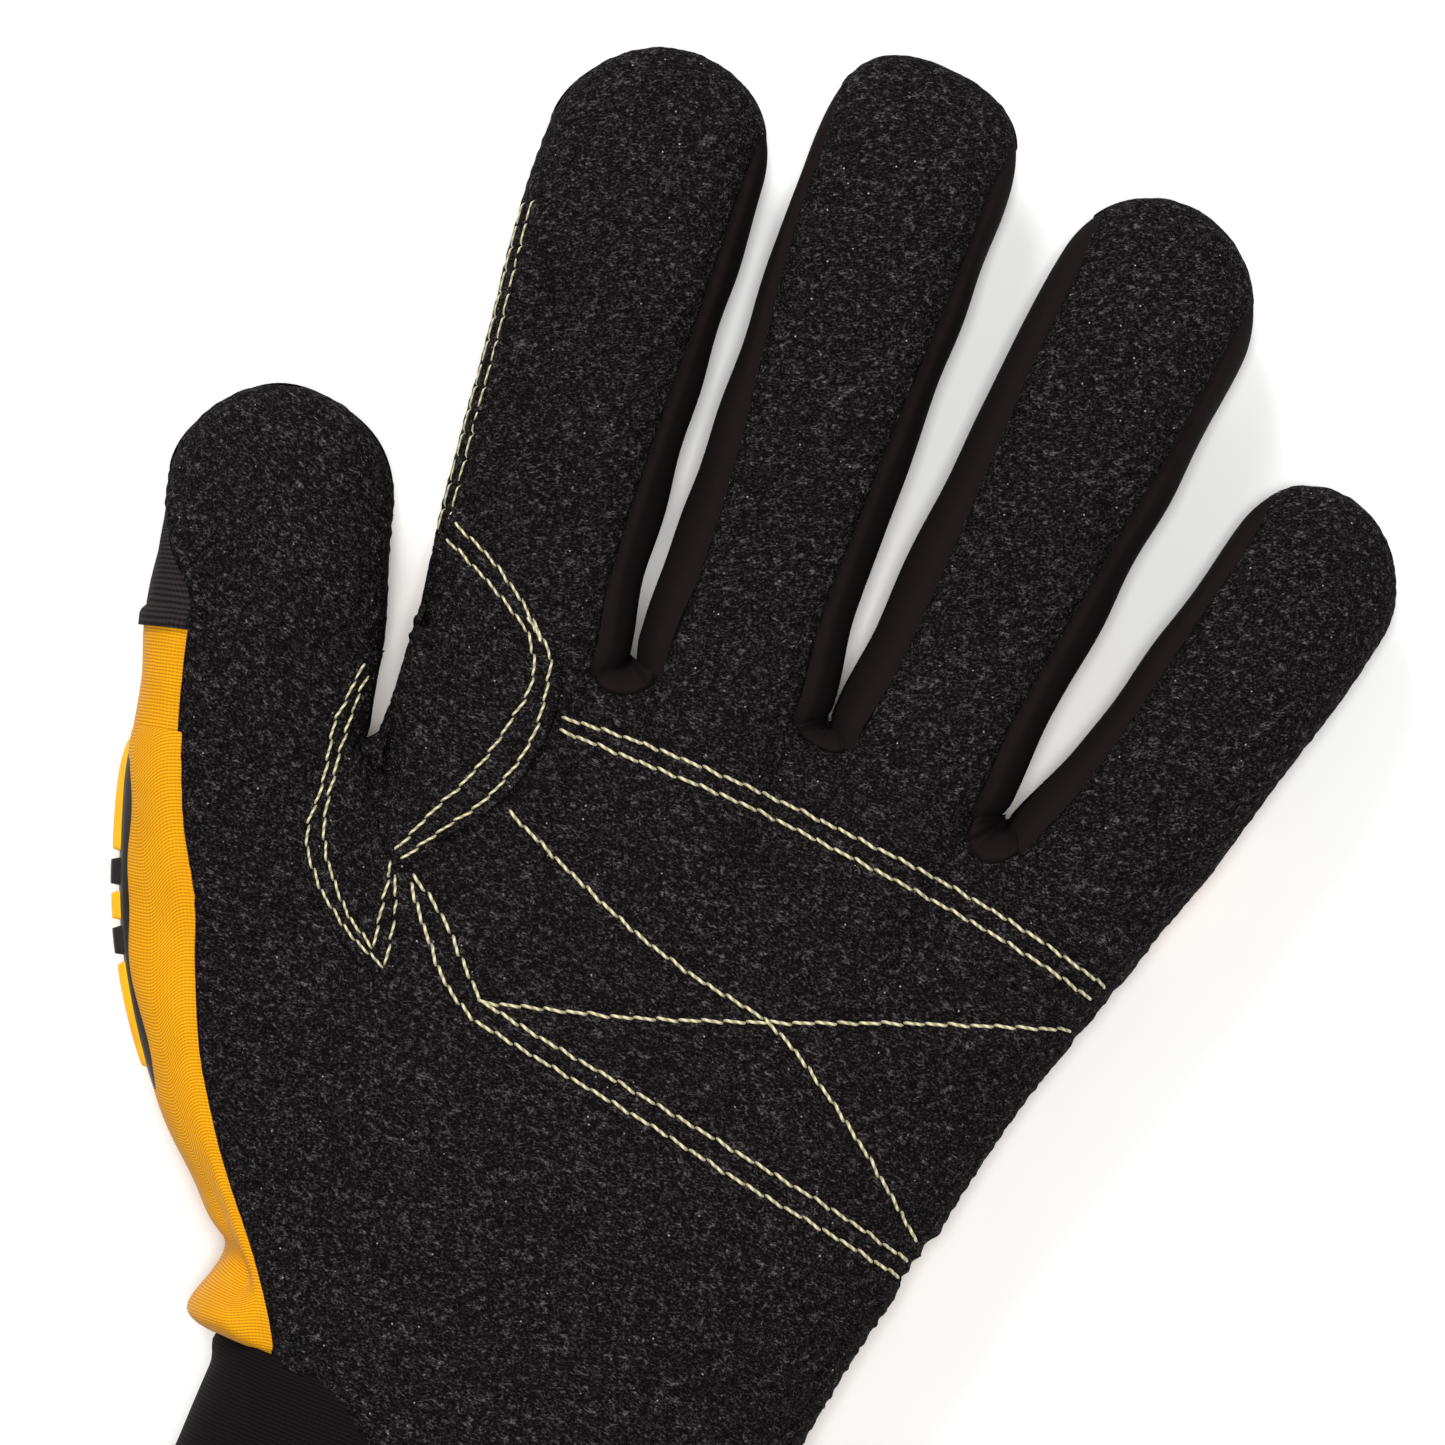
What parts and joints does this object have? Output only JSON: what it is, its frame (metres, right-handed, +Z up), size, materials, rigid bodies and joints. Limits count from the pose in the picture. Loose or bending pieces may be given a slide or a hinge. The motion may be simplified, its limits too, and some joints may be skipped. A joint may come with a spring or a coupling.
{
  "type": "work glove",
  "caption": "Left-hand padded work glove with crinkled palm fabric, knit back, moulded thumb and knuckle guards and a slip-on cuff; every finger folds towards the palm.",
  "frame": {"origin": "on the table under the middle knuckle, at the centre of the outer face of the middle knuckle bar", "axes": "+Z up out of the palm, +Y from the cuff to the fingertips, -X towards the thumb"},
  "size_m": [0.151, 0.2461, 0.047],
  "materials": {
    "textured_palm_fabric": "matte, crinkled",
    "yellow_stretch_knit": "matte, ribbed",
    "black_stretch_strip": "matte",
    "black_ribbed_knit": "matte, ribbed",
    "black_neoprene": "satin",
    "grey_fleece": "matte",
    "grey_foam": "matte",
    "black_moulded_rubber": "satin",
    "yellow_moulded_rubber": "satin"
  },
  "bodies": {
    "hand": {"palm_panel": "textured_palm_fabric", "back_panel": "yellow_stretch_knit", "hand_lining": "grey_fleece", "palm_pad": "grey_foam", "saddle_patch": "textured_palm_fabric", "web_index_middle": "black_stretch_strip", "web_middle_ring": "black_stretch_strip", "web_ring_little": "black_stretch_strip", "knuckle_guard": "black_moulded_rubber", "knuckle_bar_1": "yellow_moulded_rubber", "knuckle_bar_2": "yellow_moulded_rubber", "knuckle_bar_3": "yellow_moulded_rubber", "thumb_guard": "black_moulded_rubber", "thumb_guard_bar_lower": "yellow_moulded_rubber", "thumb_guard_bar_middle": "yellow_moulded_rubber", "thumb_guard_bar_upper": "yellow_moulded_rubber", "cuff": "black_neoprene", "cuff_binding": "black_stretch_strip"},
    "thumb_lower": {"thumb_front_lower": "textured_palm_fabric", "thumb_back_lower": "yellow_stretch_knit", "thumb_lining_lower": "grey_fleece"},
    "thumb_upper": {"thumb_front_upper": "textured_palm_fabric", "thumb_back_upper": "black_ribbed_knit", "thumb_lining_upper": "grey_fleece"},
    "index_lower": {"index_front_lower": "textured_palm_fabric", "index_back_lower": "yellow_stretch_knit", "index_right_strip_lower": "black_stretch_strip", "index_lining_lower": "grey_fleece"},
    "index_upper": {"index_front_upper": "textured_palm_fabric", "index_back_upper": "black_ribbed_knit", "index_right_strip_upper": "black_stretch_strip", "index_lining_upper": "grey_fleece"},
    "middle_lower": {"middle_front_lower": "textured_palm_fabric", "middle_back_lower": "yellow_stretch_knit", "middle_right_strip_lower": "black_stretch_strip", "middle_left_strip_lower": "black_stretch_strip", "middle_lining_lower": "grey_fleece"},
    "middle_upper": {"middle_front_upper": "textured_palm_fabric", "middle_back_upper": "black_ribbed_knit", "middle_right_strip_upper": "black_stretch_strip", "middle_left_strip_upper": "black_stretch_strip", "middle_lining_upper": "grey_fleece"},
    "ring_lower": {"ring_front_lower": "textured_palm_fabric", "ring_back_lower": "yellow_stretch_knit", "ring_right_strip_lower": "black_stretch_strip", "ring_left_strip_lower": "black_stretch_strip", "ring_lining_lower": "grey_fleece"},
    "ring_upper": {"ring_front_upper": "textured_palm_fabric", "ring_back_upper": "black_ribbed_knit", "ring_right_strip_upper": "black_stretch_strip", "ring_left_strip_upper": "black_stretch_strip", "ring_lining_upper": "grey_fleece"},
    "little_lower": {"little_front_lower": "textured_palm_fabric", "little_back_lower": "yellow_stretch_knit", "little_left_strip_lower": "black_stretch_strip", "little_lining_lower": "grey_fleece"},
    "little_upper": {"little_front_upper": "textured_palm_fabric", "little_back_upper": "black_ribbed_knit", "little_left_strip_upper": "black_stretch_strip", "little_lining_upper": "grey_fleece"}
  },
  "joints": [
    {"name": "thumb_knuckle", "type": "hinge", "parent": "hand", "child": "thumb_lower", "pos_m": [-0.05387, -0.01055, 0.0284], "axis": [0.9703, 0.2419, 0], "range_deg": [0, 45]},
    {"name": "thumb_fold", "type": "hinge", "parent": "thumb_lower", "child": "thumb_upper", "pos_m": [-0.05798, 0.00594, 0.0284], "axis": [0.9703, 0.2419, 0], "range_deg": [0, 50]},
    {"name": "index_knuckle", "type": "hinge", "parent": "hand", "child": "index_lower", "pos_m": [-0.02646, 0.01095, 0.0284], "axis": [0.9973, 0.0732, 0], "range_deg": [0, 65]},
    {"name": "index_fold", "type": "hinge", "parent": "index_lower", "child": "index_upper", "pos_m": [-0.02888, 0.04386, 0.0284], "axis": [0.9973, 0.0732, 0], "range_deg": [0, 65]},
    {"name": "middle_knuckle", "type": "hinge", "parent": "hand", "child": "middle_lower", "pos_m": [0, 0.0145, 0.0284], "axis": [1, 0.0087, 0], "range_deg": [0, 65]},
    {"name": "middle_fold", "type": "hinge", "parent": "middle_lower", "child": "middle_upper", "pos_m": [-0.00032, 0.0515, 0.0284], "axis": [1, 0.0087, 0], "range_deg": [0, 65]},
    {"name": "ring_knuckle", "type": "hinge", "parent": "hand", "child": "ring_lower", "pos_m": [0.02531, 0.01253, 0.0284], "axis": [0.9921, -0.1253, 0], "range_deg": [0, 65]},
    {"name": "ring_fold", "type": "hinge", "parent": "ring_lower", "child": "ring_upper", "pos_m": [0.02957, 0.04626, 0.0284], "axis": [0.9921, -0.1253, 0], "range_deg": [0, 65]},
    {"name": "little_knuckle", "type": "hinge", "parent": "hand", "child": "little_lower", "pos_m": [0.04952, 0.0065, 0.0284], "axis": [0.9573, -0.289, 0], "range_deg": [0, 65]},
    {"name": "little_fold", "type": "hinge", "parent": "little_lower", "child": "little_upper", "pos_m": [0.05703, 0.03139, 0.0284], "axis": [0.9573, -0.289, 0], "range_deg": [0, 65]}
  ]
}
